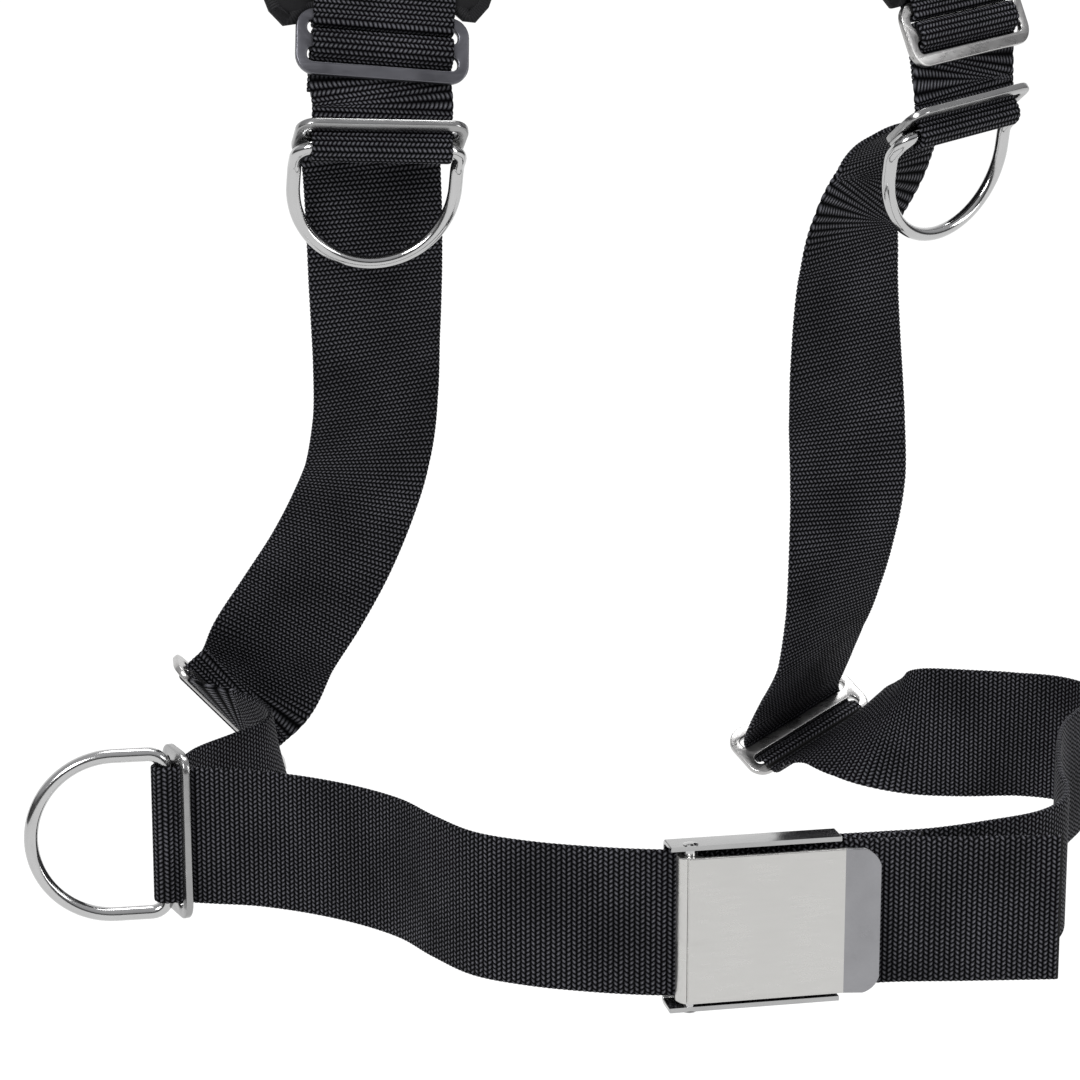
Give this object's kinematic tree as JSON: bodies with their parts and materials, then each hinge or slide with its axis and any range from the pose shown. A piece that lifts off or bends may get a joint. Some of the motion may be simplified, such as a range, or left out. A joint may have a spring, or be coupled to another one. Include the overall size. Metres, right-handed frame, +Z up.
{
  "type": "breathing apparatus harness",
  "caption": "Padded webbing shoulder harness with a waist belt, a hinged cam buckle and D-rings on slides, worn to carry a breathing set on the back.",
  "frame": {"origin": "the shoulder rest, midway between the undersides of the two shoulder pads, where the wearer's shoulders carry the harness", "axes": "+Z up, +X towards the wearer's left, and the wearer faces -Y; the belt lies level at z = -0.42"},
  "size_m": [0.4134, 0.2973, 0.472],
  "materials": {
    "webbing": "ribbed flat webbing, near black",
    "pad_cover": "plain woven cover fabric, near black",
    "pad_binding": "folded edge tape, black",
    "pad_foam": "closed cell foam, dark grey",
    "dull_steel": "dull satin stainless steel",
    "satin_steel": "satin stainless steel",
    "polished_steel": "polished stainless steel rod",
    "buckle_steel": "satin stainless steel sheet"
  },
  "bodies": {
    "harness": {"shoulder_webbing_right": "webbing", "shoulder_webbing_left": "webbing", "back_yoke": "webbing", "pad_cover_right": "pad_cover", "pad_cover_left": "pad_cover", "pad_foam_right": "pad_foam", "pad_foam_left": "pad_foam", "pad_binding_right": "pad_binding", "pad_binding_left": "pad_binding", "upper_slide_right": "dull_steel", "upper_slide_left": "satin_steel", "side_webbing_right": "webbing", "side_webbing_left": "webbing", "chest_keeper_right": "satin_steel", "chest_keeper_left": "satin_steel", "hip_slide_right": "satin_steel", "hip_slide_left": "satin_steel", "waist_webbing_right": "webbing", "waist_webbing_left": "webbing", "belt_keeper": "satin_steel", "buckle_base": "buckle_steel", "buckle_pin": "buckle_steel"},
    "flap": {"buckle_flap": "buckle_steel"},
    "chest_ring_right": {"chest_ring_right": "polished_steel"},
    "chest_ring_left": {"chest_ring_left": "polished_steel"},
    "belt_ring": {"belt_ring": "polished_steel"}
  },
  "joints": [
    {"name": "flap_hinge", "type": "hinge", "parent": "harness", "child": "flap", "pos_m": [-0.03238, -0.22356, -0.42], "axis": [0, 0, -1], "range_deg": [0, 135]},
    {"name": "chest_ring_right_hinge", "type": "hinge", "parent": "harness", "child": "chest_ring_right", "pos_m": [-0.10286, -0.06049, -0.17998], "axis": [-0.9992, 0, 0.04], "range_deg": [-5, 150]},
    {"name": "chest_ring_left_hinge", "type": "hinge", "parent": "harness", "child": "chest_ring_left", "pos_m": [0.11442, -0.06314, -0.17541], "axis": [-0.8985, -0.4193, -0.1298], "range_deg": [-5, 150]},
    {"name": "belt_ring_hinge", "type": "hinge", "parent": "harness", "child": "belt_ring", "pos_m": [-0.18773, -0.08417, -0.42], "axis": [0, 0, 1], "range_deg": [-70, 95]}
  ]
}
